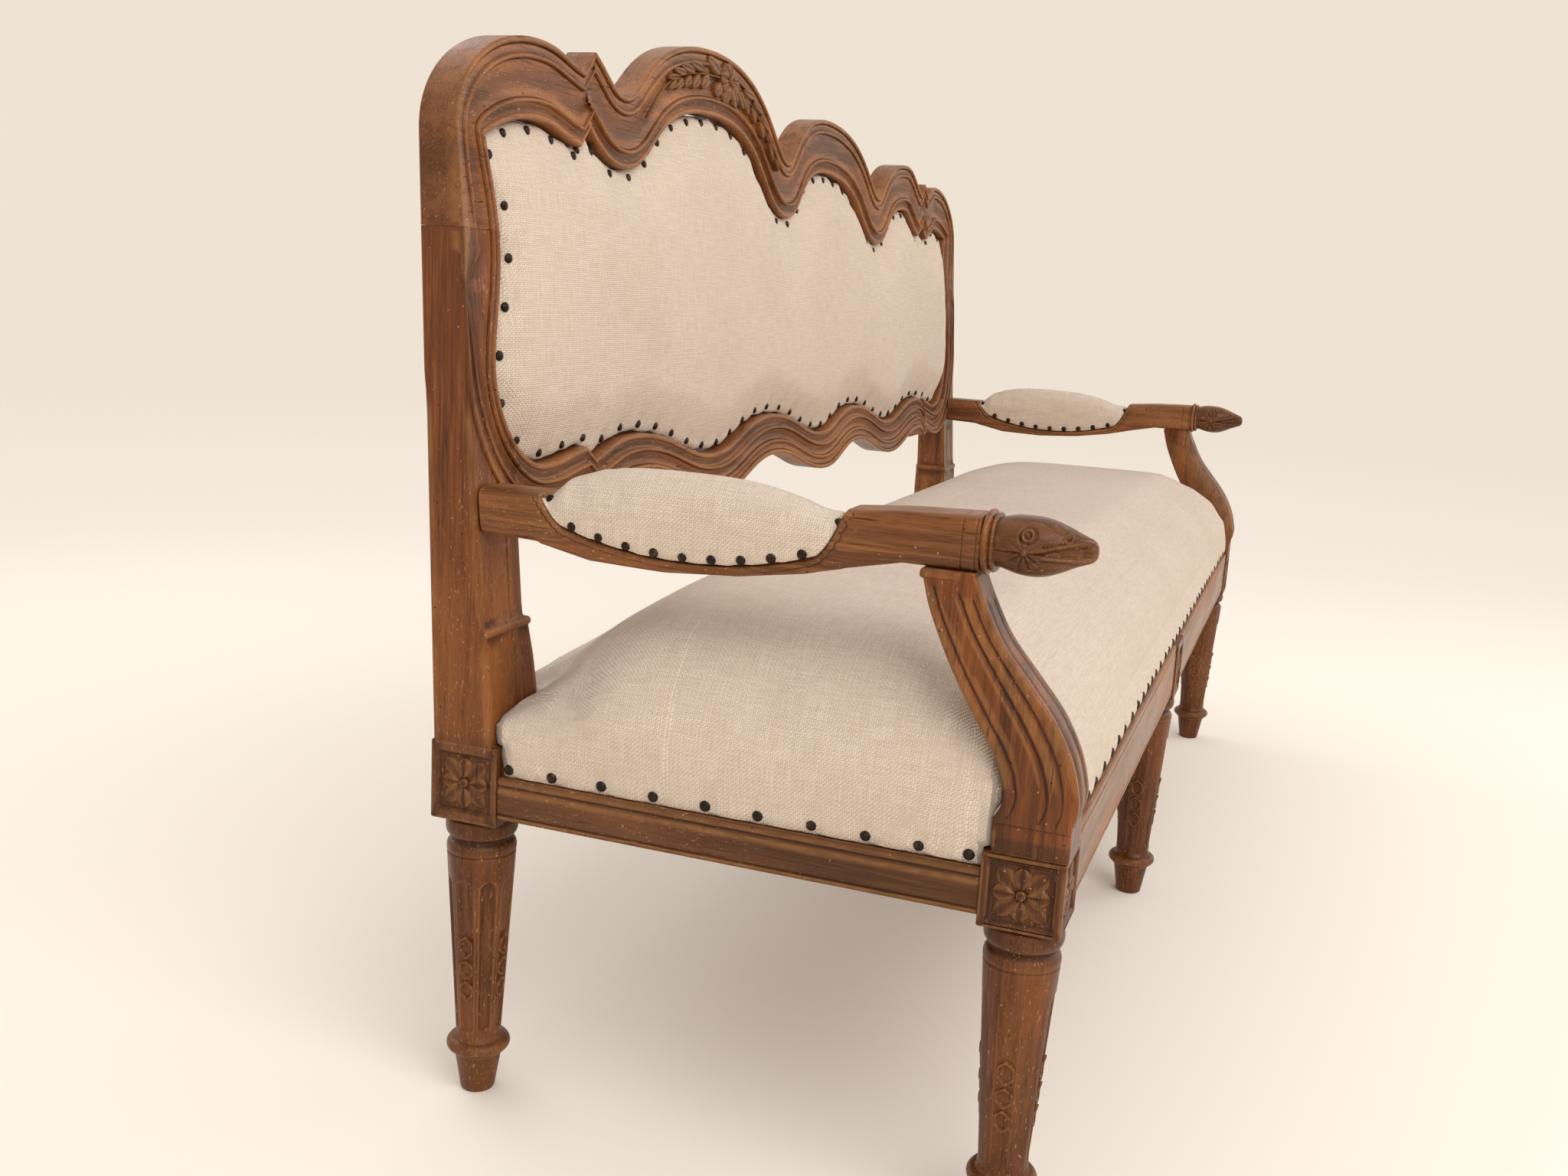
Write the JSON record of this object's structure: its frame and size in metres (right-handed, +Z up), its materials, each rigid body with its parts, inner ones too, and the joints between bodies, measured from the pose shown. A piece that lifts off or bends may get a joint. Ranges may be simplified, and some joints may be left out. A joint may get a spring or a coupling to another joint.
{
  "type": "settee",
  "caption": "Open-armed settee with a scalloped moulded back, turned fluted legs, S-shaped arm supports, stuffed linen seat and back and small stuffed arm pads.",
  "frame": {"origin": "on the floor, under the centre of the bounding box", "axes": "+X along the seat towards the sitter's left, -Y is where the sitter faces, +Z up"},
  "size_m": [1.831, 0.655, 1.119],
  "materials": {
    "carved_wood": "worn satin",
    "plain_wood": "bare, unpolished",
    "linen": "coarse plain weave",
    "jute_webbing": "coarse weave"
  },
  "bodies": {
    "root": {"crest_rail": "carved_wood", "lower_back_rail": "carved_wood", "back_post_left": "carved_wood", "back_post_right": "carved_wood", "front_leg_left": "carved_wood", "front_leg_right": "carved_wood", "front_leg_centre": "carved_wood", "back_leg_centre": "carved_wood", "front_rail_left": "carved_wood", "front_rail_right": "carved_wood", "back_rail_left": "carved_wood", "back_rail_right": "carved_wood", "end_rail_left": "carved_wood", "end_rail_right": "carved_wood", "arm_support_left": "carved_wood", "arm_support_right": "carved_wood", "arm_left": "carved_wood", "arm_right": "carved_wood", "seat_brace_left": "plain_wood", "seat_brace_centre": "plain_wood", "seat_brace_right": "plain_wood", "corner_block_front_left": "plain_wood", "corner_block_front_right": "plain_wood", "corner_block_back_left": "plain_wood", "corner_block_back_right": "plain_wood", "back_ledge_left": "plain_wood", "back_ledge_right": "plain_wood", "seat_cushion": "linen", "back_pad": "linen", "rear_cover": "linen", "arm_pad_left": "linen", "arm_pad_right": "linen", "seat_webbing": "jute_webbing"}
  },
  "joints": []
}
